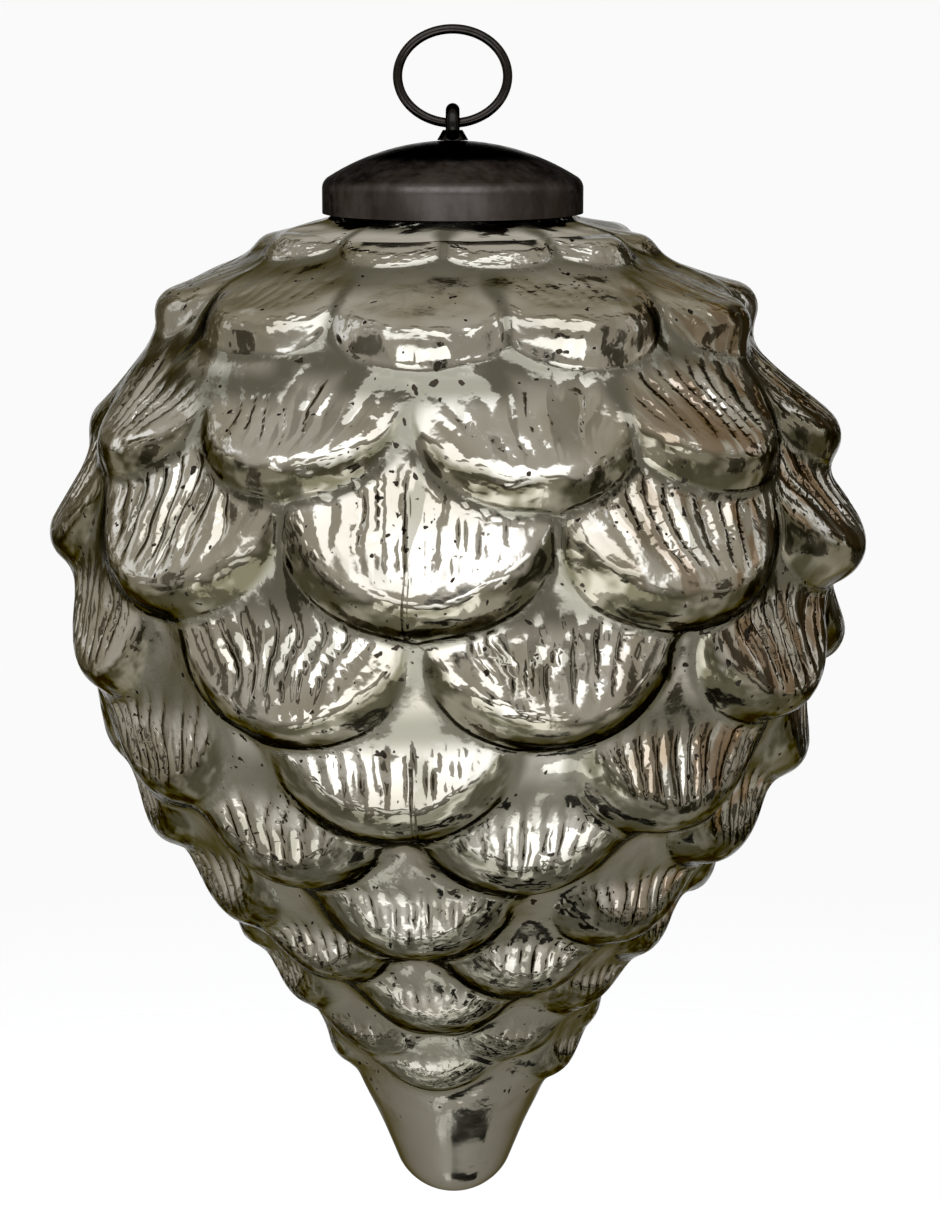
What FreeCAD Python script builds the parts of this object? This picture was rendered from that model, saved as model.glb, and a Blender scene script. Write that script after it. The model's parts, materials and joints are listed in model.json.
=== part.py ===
import FreeCAD, Part
import math
import os

import Sketcher
from FreeCAD import Placement, Rotation, Vector

# A pine cone ornament of silvered glass, hung by a metal cap, an eye and a wire ring.
# Millimetres, +Z up. The origin is the inside top of the ring, where a hook bears.
# The photograph looks along +Y, with +X to its right.

# Driving dimensions, each written once. Widths are outside diameters.
DIMENSIONS = {
    "RingWire": 1.15,
    "RingHalfHeight": 5.6,
    "RingStretch": 1.05,
    "HoldGap": 0.12,
    "FootGap": 0.25,
    "EyeWire": 1.7,
    "EyeHole": 1.8,
    "FootTop": 2.4,
    "FootBase": 3.8,
    "FootRise": 1.2,
    "ShankWidth": 1.6,
    "HeadWidth": 3.2,
    "HeadRise": 0.6,
    "SeatGap": 0.05,
    "CapWidth": 31.8,
    "CapHeight": 8.7,
    "CapDome": 28.5,
    "CapCorner": 1.6,
    "CapWall": 0.4,
    "ClipGap": 0.2,
    "ClipWall": 0.35,
    "ClipStrip": 2.6,
    "ClipFlat": 4.2,
    "ClipDroop": 36.0,
    "NeckGap": 0.9,
    "NeckShow": 0.9,
    "GlassWall": 1.3,
    "BodyWidth": 90.4,
    "BodyLength": 124.8,
    "ScaleDepth": 8.0,
    "ScaleBevel": 2.4,
    "ScaleFill": 0.97,
    "ScaleWobble": 0.55,
    "BodyLean": 0.02,
}

# Half outline of the glass between the scales, from the neck down:
# share of the widest radius, and share of the body's length.
FLANK = [
    (0.341, 0.006),
    (0.465, 0.029),
    (0.664, 0.065),
    (0.752, 0.105),
    (0.852, 0.157),
    (0.940, 0.221),
    (0.996, 0.293),
    (1.000, 0.357),
    (0.962, 0.438),
    (0.885, 0.510),
    (0.785, 0.574),
    (0.675, 0.634),
    (0.564, 0.690),
    (0.465, 0.742),
    (0.376, 0.794),
    (0.301, 0.838),
    (0.265, 0.874),
]

# The smooth tip below the last scales, in the same shares: the hollow of its flank and
# the edge of its round end.
TIP = [
    (0.206, 0.920),
    (0.155, 0.966),
]

# Each row of scales, from the top: where its faces leave the body, where their lips end
# (the same shares), how many scales it has, and the turn of one of them from the front.
ROWS = [
    ((0.360, 0.012), (0.548, 0.018), 10, 15),
    ((0.500, 0.042), (0.835, 0.080), 10, -7),
    ((0.735, 0.114), (1.045, 0.208), 10, 11),
    ((0.965, 0.232), (1.128, 0.320), 9, -5),
    ((1.000, 0.345), (1.072, 0.437), 9, 15),
    ((0.945, 0.454), (0.950, 0.543), 8, -8),
    ((0.860, 0.546), (0.838, 0.607), 8, 15),
    ((0.715, 0.620), (0.684, 0.683), 7, -8),
    ((0.600, 0.684), (0.577, 0.728), 7, 18),
    ((0.490, 0.730), (0.474, 0.774), 6, -8),
    ((0.395, 0.776), (0.388, 0.813), 6, 22),
    ((0.335, 0.823), (0.330, 0.855), 5, -8),
]

BODY_SIDES = 24
SCALE_SIDES = 18

# Limits that keep the smaller scales in proportion: the bevel as a share of a scale's
# radius, its depth as a share of its lip's reach. In bevels: how far the buried side
# flares, and how far the face stands out so that the bevelled lip keeps its reach.
BEVEL_SHARE = 0.2
DEPTH_SHARE = 0.25
FLARE = 0.2
SWELL = 0.5

# The waves that make the scales uneven: steps in radians for a place and for a row.
REACH_WAVE = (2.1, 1.7)
DROP_WAVE = (3.7, 0.9)

# The share of the cap's inner corner that the neck's rim stays clear of.
CORNER_SHARE = 0.25

# Two lengths nearer than this are the same.
SAME = 0.001

# Heights that several pieces share, worked out from the sheet.
RING_CENTRE = "(Sizes.RingWire / 2 - Sizes.RingHalfHeight)"
PIVOT = "(Sizes.RingWire / 2 - 2 * Sizes.RingHalfHeight)"
EYE_CENTRE = f"({PIVOT} + Sizes.RingWire / 2 + Sizes.HoldGap - Sizes.EyeHole / 2)"
FOOT_BASE = f"({PIVOT} - Sizes.RingWire / 2 - Sizes.FootGap - Sizes.FootRise)"
APEX = f"({FOOT_BASE} - Sizes.SeatGap)"
CLIP_TOP = f"({APEX} - Sizes.CapWall - Sizes.ClipGap)"
HEAD_TOP = f"({CLIP_TOP} - Sizes.ClipWall - Sizes.SeatGap)"
NECK_RADIUS = "(Sizes.CapWidth / 2 - Sizes.CapWall - Sizes.NeckGap)"
BORE_RADIUS = f"({NECK_RADIUS} - Sizes.GlassWall)"

doc = FreeCAD.newDocument("pine_cone_ornament")


def make_sheet():
    """The spreadsheet that holds every driving dimension under its own name."""
    sheet = doc.addObject("Spreadsheet::Sheet", "Sizes")
    for line, (name, value) in enumerate(DIMENSIONS.items(), start=1):
        sheet.set(f"A{line}", name)
        sheet.set(f"B{line}", str(value))
        sheet.setAlias(f"B{line}", name)
    doc.recompute()
    return sheet


def primitive(kind, name, **expressions):
    """A Part primitive or operation whose sizes are bound to the sheet."""
    thing = doc.addObject(kind, name)
    for prop, formula in expressions.items():
        thing.setExpression(prop.replace("__", "."), formula)
    return thing


def joined(kind, name, pieces):
    """The union or the common part of several pieces."""
    result = doc.addObject(kind, name)
    result.Shapes = pieces
    result.Refine = True
    return result


def make_ring():
    """An oval ring of round wire, standing in the XZ plane."""
    path = primitive(
        "Part::Ellipse",
        "ring_path",
        MajorRadius="Sizes.RingHalfHeight + Sizes.RingStretch",
        MinorRadius="Sizes.RingHalfHeight",
    )
    path.Placement = Placement(Vector(0, 0, 0), Rotation(Vector(1, 0, 0), 90))
    path.setExpression("Placement.Base.z", RING_CENTRE)
    section = primitive("Part::Circle", "ring_section", Radius="Sizes.RingWire / 2")
    section.setExpression("Placement.Base.x", "Sizes.RingHalfHeight + Sizes.RingStretch")
    section.setExpression("Placement.Base.z", RING_CENTRE)
    ring = doc.addObject("Part::Sweep", "ring")
    ring.Sections = [section]
    ring.Spine = (path, ["Edge1"])
    ring.Solid = True
    ring.Frenet = False
    return ring


def make_eye():
    """A cast eye: a loop on a flared foot, with a shank that is riveted under the cap."""
    loop = primitive(
        "Part::Torus",
        "eye_loop",
        Radius1="(Sizes.EyeHole + Sizes.EyeWire) / 2",
        Radius2="Sizes.EyeWire / 2",
    )
    loop.Placement = Placement(Vector(0, 0, 0), Rotation(Vector(0, 1, 0), 90))
    loop.setExpression("Placement.Base.z", EYE_CENTRE)
    space = primitive(
        "Part::Cylinder",
        "eye_space",
        Radius="Sizes.EyeHole + Sizes.EyeWire * 2",
        Height="Sizes.EyeHole * 2 + Sizes.EyeWire * 2",
        Placement__Base__z=FOOT_BASE,
    )
    bow = joined("Part::MultiCommon", "eye_bow", [loop, space])
    foot = primitive(
        "Part::Cone",
        "eye_foot",
        Radius1="Sizes.FootBase / 2",
        Radius2="Sizes.FootTop / 2",
        Height="Sizes.FootRise",
        Placement__Base__z=FOOT_BASE,
    )
    shank = primitive(
        "Part::Cylinder",
        "eye_shank",
        Radius="Sizes.ShankWidth / 2",
        Height=f"{FOOT_BASE} - {HEAD_TOP} + Sizes.HeadRise / 2",
        Placement__Base__z=f"{HEAD_TOP} - Sizes.HeadRise / 2",
    )
    head = primitive(
        "Part::Cone",
        "eye_head",
        Radius1="Sizes.ShankWidth / 2",
        Radius2="Sizes.HeadWidth / 2",
        Height="Sizes.HeadRise",
        Placement__Base__z=f"{HEAD_TOP} - Sizes.HeadRise",
    )
    return joined("Part::MultiFuse", "hanger_eye", [bow, foot, shank, head])


def make_clip():
    """A flat spring clip: its two arms press outward inside the neck."""
    flat = primitive(
        "Part::Box",
        "clip_flat",
        Length="Sizes.ClipStrip",
        Width="Sizes.ClipFlat",
        Height="Sizes.ClipWall",
        Placement__Base__x="-Sizes.ClipStrip / 2",
        Placement__Base__y="-Sizes.ClipFlat / 2",
        Placement__Base__z=f"{CLIP_TOP} - Sizes.ClipWall",
    )
    reach = f"{BORE_RADIUS} - 2 * Sizes.SeatGap - Sizes.ClipFlat / 2"
    arm = primitive(
        "Part::Box",
        "clip_arm",
        Length="Sizes.ClipStrip",
        Width=f"({reach}) / cos(Sizes.ClipDroop * 1 deg)",
        Height="Sizes.ClipWall",
    )
    arm.Placement = Placement(Vector(0, 0, 0), Rotation(Vector(-1, 0, 0), DIMENSIONS["ClipDroop"]))
    arm.setExpression("Placement.Rotation.Angle", "Sizes.ClipDroop")
    arm.setExpression("Placement.Base.x", "-Sizes.ClipStrip / 2")
    arm.setExpression(
        "Placement.Base.y",
        "Sizes.ClipFlat / 2 - Sizes.ClipWall * sin(Sizes.ClipDroop * 1 deg)",
    )
    arm.setExpression(
        "Placement.Base.z",
        f"{CLIP_TOP} - Sizes.ClipWall * cos(Sizes.ClipDroop * 1 deg)",
    )
    other_arm = doc.addObject("Part::Mirroring", "clip_other_arm")
    other_arm.Source = arm
    other_arm.Normal = Vector(0, 1, 0)
    strip = joined("Part::MultiFuse", "clip_strip", [flat, arm, other_arm])
    hole = primitive(
        "Part::Cylinder",
        "clip_hole",
        Radius="Sizes.ShankWidth / 2 + Sizes.SeatGap",
        Height="Sizes.ClipWall * 3",
        Placement__Base__z=f"{CLIP_TOP} - Sizes.ClipWall * 2",
    )
    clip = doc.addObject("Part::Cut", "spring_clip")
    clip.Base = strip
    clip.Tool = hole
    return clip


def origin_plane(body, role):
    """One of a body's own origin planes."""
    for feature in body.Origin.OriginFeatures:
        if feature.Role == role:
            return feature
    raise ValueError(role)


def make_cap():
    """A pressed cap: a shallow dome over a straight skirt, of one thin wall."""
    body = doc.addObject("PartDesign::Body", "cap")
    body.setExpression("Placement.Base.z", APEX)
    sketch = body.newObject("Sketcher::SketchObject", "cap_section")
    sketch.AttachmentSupport = [(origin_plane(body, "XZ_Plane"), "")]
    sketch.MapMode = "FlatFace"
    draw_cap_section(sketch)
    turned = body.newObject("PartDesign::Revolution", "cap_turned")
    turned.Profile = sketch
    turned.ReferenceAxis = (sketch, ["V_Axis"])
    turned.Angle = 360
    doc.recompute()
    round_cap_corner(body, turned)
    return body


def draw_cap_section(sketch):
    """Half of the cap's section: two arcs about one centre and the skirt's two sides."""
    dome = DIMENSIONS["CapDome"]
    wall = DIMENSIONS["CapWall"]
    outer = DIMENSIONS["CapWidth"] / 2
    hole = DIMENSIONS["ShankWidth"] / 2 + DIMENSIONS["SeatGap"]
    bottom = -DIMENSIONS["CapHeight"]

    def on_dome(radius, across):
        return Vector(across, math.sqrt(radius**2 - across**2) - dome, 0)

    corners = [
        on_dome(dome, hole),
        on_dome(dome, outer),
        Vector(outer, bottom, 0),
        Vector(outer - wall, bottom, 0),
        on_dome(dome - wall, outer - wall),
        on_dome(dome - wall, hole),
    ]

    def dome_arc(radius, low, high):
        circle = Part.Circle(Vector(0, -dome, 0), Vector(0, 0, 1), radius)
        angles = [math.atan2(point.y + dome, point.x) for point in (low, high)]
        return Part.ArcOfCircle(circle, angles[0], angles[1])

    sketch.addGeometry(dome_arc(dome, corners[1], corners[0]), False)
    sketch.addGeometry(Part.LineSegment(corners[1], corners[2]), False)
    sketch.addGeometry(Part.LineSegment(corners[2], corners[3]), False)
    sketch.addGeometry(Part.LineSegment(corners[3], corners[4]), False)
    sketch.addGeometry(dome_arc(dome - wall, corners[4], corners[5]), False)
    sketch.addGeometry(Part.LineSegment(corners[5], corners[0]), False)

    rules = [
        ("Coincident", 0, 1, 1, 1),
        ("Coincident", 1, 2, 2, 1),
        ("Coincident", 2, 2, 3, 1),
        ("Coincident", 3, 2, 4, 1),
        ("Coincident", 4, 2, 5, 1),
        ("Coincident", 5, 2, 0, 2),
        ("Coincident", 0, 3, 4, 3),
        ("PointOnObject", 0, 3, -2),
        ("Vertical", 1),
        ("Horizontal", 2),
        ("Vertical", 3),
        ("Vertical", 5),
    ]
    for rule in rules:
        sketch.addConstraint(Sketcher.Constraint(*rule))
    sizes = [
        ("Radius", (0, dome), "Sizes.CapDome"),
        ("Radius", (4, dome - wall), "Sizes.CapDome - Sizes.CapWall"),
        ("DistanceX", (-1, 1, 1, 1, outer), "Sizes.CapWidth / 2"),
        ("DistanceX", (-1, 1, 3, 1, outer - wall), "Sizes.CapWidth / 2 - Sizes.CapWall"),
        ("DistanceX", (-1, 1, 5, 1, hole), "Sizes.ShankWidth / 2 + Sizes.SeatGap"),
        ("DistanceY", (0, 3, -1, 1, dome), "Sizes.CapDome"),
        ("DistanceY", (2, 1, -1, 1, -bottom), "Sizes.CapHeight"),
    ]
    for kind, places, formula in sizes:
        index = sketch.addConstraint(Sketcher.Constraint(kind, *places))
        sketch.setExpression(f"Constraints[{index}]", formula)


def round_cap_corner(body, turned):
    """Round the bend between dome and skirt, outside and inside."""
    outer = DIMENSIONS["CapWidth"] / 2
    outside = body.newObject("PartDesign::Fillet", "cap_corner")
    outside.Base = (turned, [upper_rim(turned.Shape, outer)])
    outside.setExpression("Radius", "Sizes.CapCorner")
    doc.recompute()
    inside = body.newObject("PartDesign::Fillet", "cap_inner_corner")
    inside.Base = (outside, [upper_rim(outside.Shape, outer - DIMENSIONS["CapWall"])])
    inside.setExpression("Radius", "Sizes.CapCorner - Sizes.CapWall")
    doc.recompute()


def upper_rim(shape, radius):
    """The name of the highest round edge of a given radius."""
    found = []
    for index, edge in enumerate(shape.Edges, start=1):
        if isinstance(edge.Curve, Part.Circle) and edge.Closed:
            if abs(edge.Curve.Radius - radius) < SAME:
                found.append((edge.CenterOfMass.z, f"Edge{index}"))
    return max(found)[1]


def circle_points(radius, height, sides):
    """The corners of a regular polygon about the Z axis."""
    step = 2 * math.pi / sides
    return [
        Vector(radius * math.cos(i * step), radius * math.sin(i * step), height)
        for i in range(sides)
    ]


def stacked(rings):
    """A closed solid of flat faces between polygons that lie one above another."""
    ends = (rings[0], rings[-1])
    faces = [Part.Face(Part.makePolygon(ring + ring[:1])) for ring in ends]
    for low, high in zip(rings, rings[1:]):
        for i, corner in enumerate(low):
            after = (i + 1) % len(low)
            sides = [corner, low[after], high[after], high[i], corner]
            faces.append(Part.Face(Part.makePolygon(sides)))
    solid = Part.Solid(Part.Shell(faces))
    if solid.Volume < 0:
        solid.reverse()
    return solid


def wobble(row, place):
    """The small unevenness of handwork: two numbers between -1 and 1 for each scale."""
    return tuple(math.sin(step * place + shift * row) for step, shift in (REACH_WAVE, DROP_WAVE))


def make_scale(sizes, top, lip, count):
    """One scale facing +X: a round, bevelled plate whose lower rim is the lip.

    top and lip are (reach, height) pairs on the middle line of its face.
    """
    run = math.hypot(lip[0] - top[0], lip[1] - top[1])
    up_x = (top[0] - lip[0]) / run
    up_z = (top[1] - lip[1]) / run
    radius = sizes.ScaleFill * lip[0] * math.sin(math.pi / count)
    bevel = min(sizes.ScaleBevel, BEVEL_SHARE * radius)
    depth = min(sizes.ScaleDepth, DEPTH_SHARE * lip[0] + bevel)
    plate = stacked(
        [
            circle_points(radius + FLARE * bevel, -depth, SCALE_SIDES),
            circle_points(radius, -bevel, SCALE_SIDES),
            circle_points(radius - bevel, 0.0, SCALE_SIDES),
        ]
    )
    outward = Vector(up_z, 0, -up_x)
    centre = Vector(lip[0] + up_x * radius, 0, lip[1] + up_z * radius)
    centre += outward * (SWELL * bevel)
    plate.Placement = Placement(centre, Rotation(Vector(0, 0, 1), outward))
    return plate


def make_scales(sizes, foot):
    """All the scales, row by row, in a list."""
    plates = []
    for row, (top_share, lip_share, count, turn) in enumerate(ROWS):
        for place in range(count):
            reach_wobble, drop_wobble = wobble(row, place)
            angle = turn + 360 * place / count
            lean = 1 + sizes.BodyLean * math.sin(math.radians(angle))
            lean += reach_wobble * sizes.ScaleWobble / sizes.BodyWidth
            half = sizes.BodyWidth / 2
            top = (top_share[0] * half, foot - top_share[1] * sizes.BodyLength)
            lip_drop = lip_share[1] * sizes.BodyLength + drop_wobble * sizes.ScaleWobble
            lip = (lip_share[0] * half * lean, foot - lip_drop)
            plate = make_scale(sizes, top, lip, count)
            sway = math.degrees(2 * sizes.ScaleWobble / lip[0]) * drop_wobble
            plate.rotate(Vector(0, 0, 0), Vector(0, 0, 1), angle + sway - 90)
            plates.append(plate)
    return plates


def make_tip(sizes, foot):
    """The smooth tip, turned from a flank that curves in and a round end."""
    half = sizes.BodyWidth / 2
    shares = [FLANK[-1]] + TIP
    marks = [Vector(reach * half, 0, foot - drop * sizes.BodyLength) for reach, drop in shares]
    flank = Part.Arc(*marks).toShape()
    edge = marks[-1]
    bottom = Vector(0, 0, foot - sizes.BodyLength)
    end_rise = edge.z - bottom.z
    end_radius = (edge.x**2 + end_rise**2) / (2 * end_rise)
    half_turn = math.asin(edge.x / end_radius) / 2
    sink = end_radius * (1 - math.cos(half_turn))
    middle = Vector(end_radius * math.sin(half_turn), 0, bottom.z + sink)
    end = Part.Arc(edge, middle, bottom).toShape()
    centre = Vector(0, 0, marks[0].z)
    closing = [Part.makeLine(bottom, centre), Part.makeLine(centre, marks[0])]
    outline = Part.Wire([flank, end] + closing)
    return Part.Face(outline).revolve(Vector(0, 0, 0), Vector(0, 0, 1), 360)


def make_cavity(sizes, foot, neck_top, bore):
    """The hollow inside: the neck's bore, and a body that keeps the wall from the flank."""
    half = sizes.BodyWidth / 2
    flat = math.cos(math.pi / BODY_SIDES)
    shares = FLANK + TIP + [(0, 1)]
    marks = [(reach * half * flat, foot - drop * sizes.BodyLength) for reach, drop in shares]
    rings = []
    for before, mark, after in zip(marks, marks[1:], marks[2:]):
        run = math.hypot(after[0] - before[0], after[1] - before[1])
        inward = sizes.GlassWall * (after[1] - before[1]) / run
        downward = -sizes.GlassWall * (after[0] - before[0]) / run
        rings.append(circle_points(mark[0] + inward, mark[1] + downward, BODY_SIDES))
    hollow = stacked(rings)
    neck_base = rings[0][0].z - sizes.GlassWall
    neck_length = neck_top + sizes.GlassWall - neck_base
    return hollow.fuse(Part.makeCylinder(bore, neck_length, Vector(0, 0, neck_base)))


def make_glass(sizes):
    """The glass: a hollow body closed at the tip and open at the neck, covered in scales."""
    pivot = sizes.RingWire / 2 - 2 * sizes.RingHalfHeight
    apex = pivot - sizes.RingWire / 2 - sizes.FootGap - sizes.FootRise - sizes.SeatGap
    neck_radius = sizes.CapWidth / 2 - sizes.CapWall - sizes.NeckGap
    inside_dome = sizes.CapDome - sizes.CapWall
    under_dome = apex - sizes.CapDome + math.sqrt(inside_dome**2 - neck_radius**2)
    neck_top = under_dome - sizes.SeatGap - CORNER_SHARE * (sizes.CapCorner - sizes.CapWall)
    foot = apex - sizes.CapHeight - sizes.NeckShow
    half = sizes.BodyWidth / 2

    rings = [circle_points(neck_radius, foot, BODY_SIDES)]
    for reach, drop in FLANK:
        rings.append(circle_points(reach * half, foot - drop * sizes.BodyLength, BODY_SIDES))
    body = stacked(rings)
    neck_base = foot - FLANK[0][1] * sizes.BodyLength
    neck = Part.makeCylinder(neck_radius, neck_top - neck_base, Vector(0, 0, neck_base))
    body = body.multiFuse([neck, make_tip(sizes, foot)] + make_scales(sizes, foot))
    bore = neck_radius - sizes.GlassWall
    hollowed = body.cut(make_cavity(sizes, foot, neck_top, bore))
    if len(hollowed.Solids) != 1:
        raise RuntimeError(f"the glass came out as {len(hollowed.Solids)} solids")
    glass = doc.addObject("Part::Feature", "glass_body")
    glass.Shape = hollowed.Solids[0]
    return glass


def check_document():
    """Stop if any object of the document failed to build."""
    for thing in doc.Objects:
        if "Invalid" in thing.State or "Error" in thing.State:
            raise RuntimeError(f"{thing.Name} is {thing.State}")


def export_nodes(nodes):
    """Check each sub-part's shape and write it under its own name."""
    for node in nodes:
        shape = node.Shape
        if shape.isNull() or not shape.isValid():
            raise RuntimeError(f"{node.Label} has no valid shape")
        if len(shape.Solids) != 1:
            raise RuntimeError(f"{node.Label} has {len(shape.Solids)} solids")
        box = shape.BoundBox
        print(
            f"{node.Label}: volume {shape.Volume:.1f},"
            f" x {box.XMin:.2f} {box.XMax:.2f}, y {box.YMin:.2f} {box.YMax:.2f},"
            f" z {box.ZMin:.2f} {box.ZMax:.2f}"
        )
    for node in nodes:
        node.Shape.exportStep(f"parts/{node.Label}.step")


os.makedirs("parts", exist_ok=True)
sheet = make_sheet()
pieces = [make_ring(), make_eye(), make_clip(), make_cap(), make_glass(sheet)]
doc.recompute()
check_document()
export_nodes(pieces)
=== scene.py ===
import json
import math

import bmesh
import bpy
import numpy as np
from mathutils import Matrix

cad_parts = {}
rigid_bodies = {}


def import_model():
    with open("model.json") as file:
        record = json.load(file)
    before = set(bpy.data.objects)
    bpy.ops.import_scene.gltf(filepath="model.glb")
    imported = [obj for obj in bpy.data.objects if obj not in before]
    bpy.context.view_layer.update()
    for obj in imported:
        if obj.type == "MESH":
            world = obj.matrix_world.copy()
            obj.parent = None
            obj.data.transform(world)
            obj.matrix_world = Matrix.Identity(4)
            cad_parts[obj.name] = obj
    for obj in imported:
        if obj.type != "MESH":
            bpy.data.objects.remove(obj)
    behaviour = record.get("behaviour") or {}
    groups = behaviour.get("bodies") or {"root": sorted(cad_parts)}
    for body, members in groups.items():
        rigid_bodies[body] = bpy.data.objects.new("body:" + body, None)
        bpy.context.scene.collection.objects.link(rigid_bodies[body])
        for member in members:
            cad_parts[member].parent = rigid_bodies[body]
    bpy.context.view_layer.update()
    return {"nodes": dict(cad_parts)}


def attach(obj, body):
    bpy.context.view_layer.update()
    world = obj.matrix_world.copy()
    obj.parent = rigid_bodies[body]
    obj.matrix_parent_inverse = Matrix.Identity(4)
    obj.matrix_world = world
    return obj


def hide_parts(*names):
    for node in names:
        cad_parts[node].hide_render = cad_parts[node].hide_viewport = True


# A pine cone ornament of silvered glass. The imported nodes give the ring, the eye, the cap and
# its clip. The glass is built here in full detail, from the same sizes as its solid.

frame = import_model()

MM = 0.001

# Sizes of the glass and of what holds it, in millimetres, as in the part's source.
CAP_WIDTH = 31.8
CAP_WALL = 0.4
NECK_GAP = 0.9
GLASS_WALL = 1.3
BODY_WIDTH = 90.4
BODY_LENGTH = 124.8
NECK_TOP = -17.54
FOOT = -22.30
SCALE_DEPTH = 8.0
SCALE_FILL = 0.97
SCALE_WOBBLE = 0.55
BODY_LEAN = 0.02
NECK_RADIUS = CAP_WIDTH / 2 - CAP_WALL - NECK_GAP
FLANK_WALL = 1.2 * GLASS_WALL
HALF = BODY_WIDTH / 2

# The body between its scales, as shares of half the width and of the length.
FLANK = [
    (0.341, 0.006), (0.465, 0.029), (0.664, 0.065), (0.752, 0.105), (0.852, 0.157),
    (0.940, 0.221), (0.996, 0.293), (1.000, 0.357), (0.962, 0.438), (0.885, 0.510),
    (0.785, 0.574), (0.675, 0.634), (0.564, 0.690), (0.465, 0.742), (0.376, 0.794),
    (0.301, 0.838), (0.265, 0.874),
]
TIP = [(0.206, 0.920), (0.155, 0.966)]
# Each row of scales: where they start and where their lips end, in the same shares, how many
# there are and how far the row is turned, in degrees.
ROWS = [
    ((0.360, 0.012), (0.548, 0.018), 10, 15),
    ((0.500, 0.042), (0.835, 0.080), 10, -7),
    ((0.735, 0.114), (1.045, 0.208), 10, 11),
    ((0.965, 0.232), (1.128, 0.320), 9, -5),
    ((1.000, 0.345), (1.072, 0.437), 9, 15),
    ((0.945, 0.454), (0.950, 0.543), 8, -8),
    ((0.860, 0.546), (0.838, 0.607), 8, 15),
    ((0.715, 0.620), (0.684, 0.683), 7, -8),
    ((0.600, 0.684), (0.577, 0.728), 7, 18),
    ((0.490, 0.730), (0.474, 0.774), 6, -8),
    ((0.395, 0.776), (0.388, 0.813), 6, 22),
    ((0.335, 0.823), (0.330, 0.855), 5, -8),
]
# How strongly each row is fluted, from none to full.
FLUTED = (0.0, 0.15, 0.8, 1.0, 1.0, 1.0, 0.9, 0.9, 0.8, 0.7, 0.6, 0.5)

# A lip's roll is ROLL_LEAST millimetres and a share of its scale's radius, at most ROLL_MOST
# of the radius, and it moves the scale outward by SWELL of itself.
ROLL_SHARE = 0.17
ROLL_LEAST = 1.2
ROLL_MOST = 0.40
SWELL = 0.30
# A scale is a roll and a share of its lip's reach deep, from ROLL_DEPTHS rolls to SCALE_DEPTH.
DEPTH_SHARE = 0.25
ROLL_DEPTHS = 2.1
# How much a scale's face bends, per millimetre, and the width of the valleys' fillets.
CROWN = 0.010
FILLET = 2.8
# How far from a valley's middle its marks and the scale's face begin, in millimetres.
VALLEY_REACH = 2.2
FACE_REACH = 1.2
# How steeply a face's mark rises from its edge, in shares of the radius, and where it starts.
FACE_SLOPE = 4
FACE_START = 0.3
# How far past its radius a scale still counts, on the grid and for a point, in millimetres.
GRID_PAD = 2.0
POINT_PAD = 4.0

# The flutes run together towards a point below each scale: so many to a radian there, and so
# many radii from its middle. A scale's tone turns them apart from its neighbours'.
FLUTES = 12
FLUTE_DEPTH = 0.55
FLUTE_POWER = 2.2
FAN_POINT = 2.4
TONE_TURN = 40
# Their spacing wobbles and they grow fainter where a noise is low. Both sizes are millimetres.
FAN_WOBBLE = 0.09
WOBBLE_SIZE = 5.0
FADE_SIZE = 7.0
FADE_SPAN = (-0.25, 0.35)
NOISE_SEED = 7
# They begin and are full so far below a scale's middle, in radii.
FLUTE_TOP = (-0.5, 0.15)

# How well the exact normal has to agree with the mesh's own where it takes its place.
LEAST_AGREEMENT = 0.2

# The grid in which the glass is made: its cells and the room it takes, in millimetres.
NET_STEP = 0.74
GRID_REACH = 53.5
GRID_BELOW = 1.5
GRID_ABOVE = 2.2

# The straight neck goes on past its rim, and its last marks are just above the foot.
NECK_OVER = 4.0
NECK_MARKS = (3.0, 0.6)
# Points on each stretch of the flank, on the round tip and on the neck's rounded rim.
FLANK_POINTS = 6
TIP_POINTS = 12
RIM_POINTS = 8

# Numbers that stand in for next to nothing, for touching and for very far.
TINY = 1e-9
TOUCH = 1e-6
FAR = 1e9

# What the mesh keeps for each point of a scale, besides how far it is under the lip and how
# deep in a valley: its place on the face, how much it is on the face, and the scale's own
# pattern and flutes.
FACE_MARKS = ("across", "along", "face", "tone", "flute")


def add_object(name, data):
    """A new object in the scene."""
    thing = bpy.data.objects.new(name, data)
    bpy.context.scene.collection.objects.link(thing)
    return thing


def flank_marks():
    """The points that the body's outline passes through, as reach and height."""
    return [(reach * HALF, FOOT - drop * BODY_LENGTH) for reach, drop in FLANK + TIP]


def curve_point(before, start, end, after, t):
    """A point between start and end, on a smooth curve through all four."""
    straight = (end - before) * t
    bend = (2 * before - 5 * start + 4 * end - after) * t**2
    turn = (3 * start - before - 3 * end + after) * t**3
    return 0.5 * (2 * start + straight + bend + turn)


def body_outline():
    """Half outline of the glass between the scales, from above the neck down to the tip."""
    neck = [(NECK_RADIUS, FOOT + rise) for rise in NECK_MARKS]
    marks = np.array(neck + flank_marks())
    line = [(NECK_RADIUS, NECK_TOP + NECK_OVER)]
    for i in range(1, len(marks) - 1):
        after = marks[min(i + 2, len(marks) - 1)]
        for t in np.linspace(0, 1, FLANK_POINTS, endpoint=False):
            line.append(curve_point(marks[i - 1], marks[i], marks[i + 1], after, t))
    edge = marks[-1]
    bottom = FOOT - BODY_LENGTH
    rise = edge[1] - bottom
    radius = (edge[0] ** 2 + rise**2) / (2 * rise)
    whole = math.asin(edge[0] / radius)
    for t in np.linspace(1, 0, TIP_POINTS):
        line.append((radius * math.sin(whole * t), bottom + radius * (1 - math.cos(whole * t))))
    return np.array(line, float)


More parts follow.
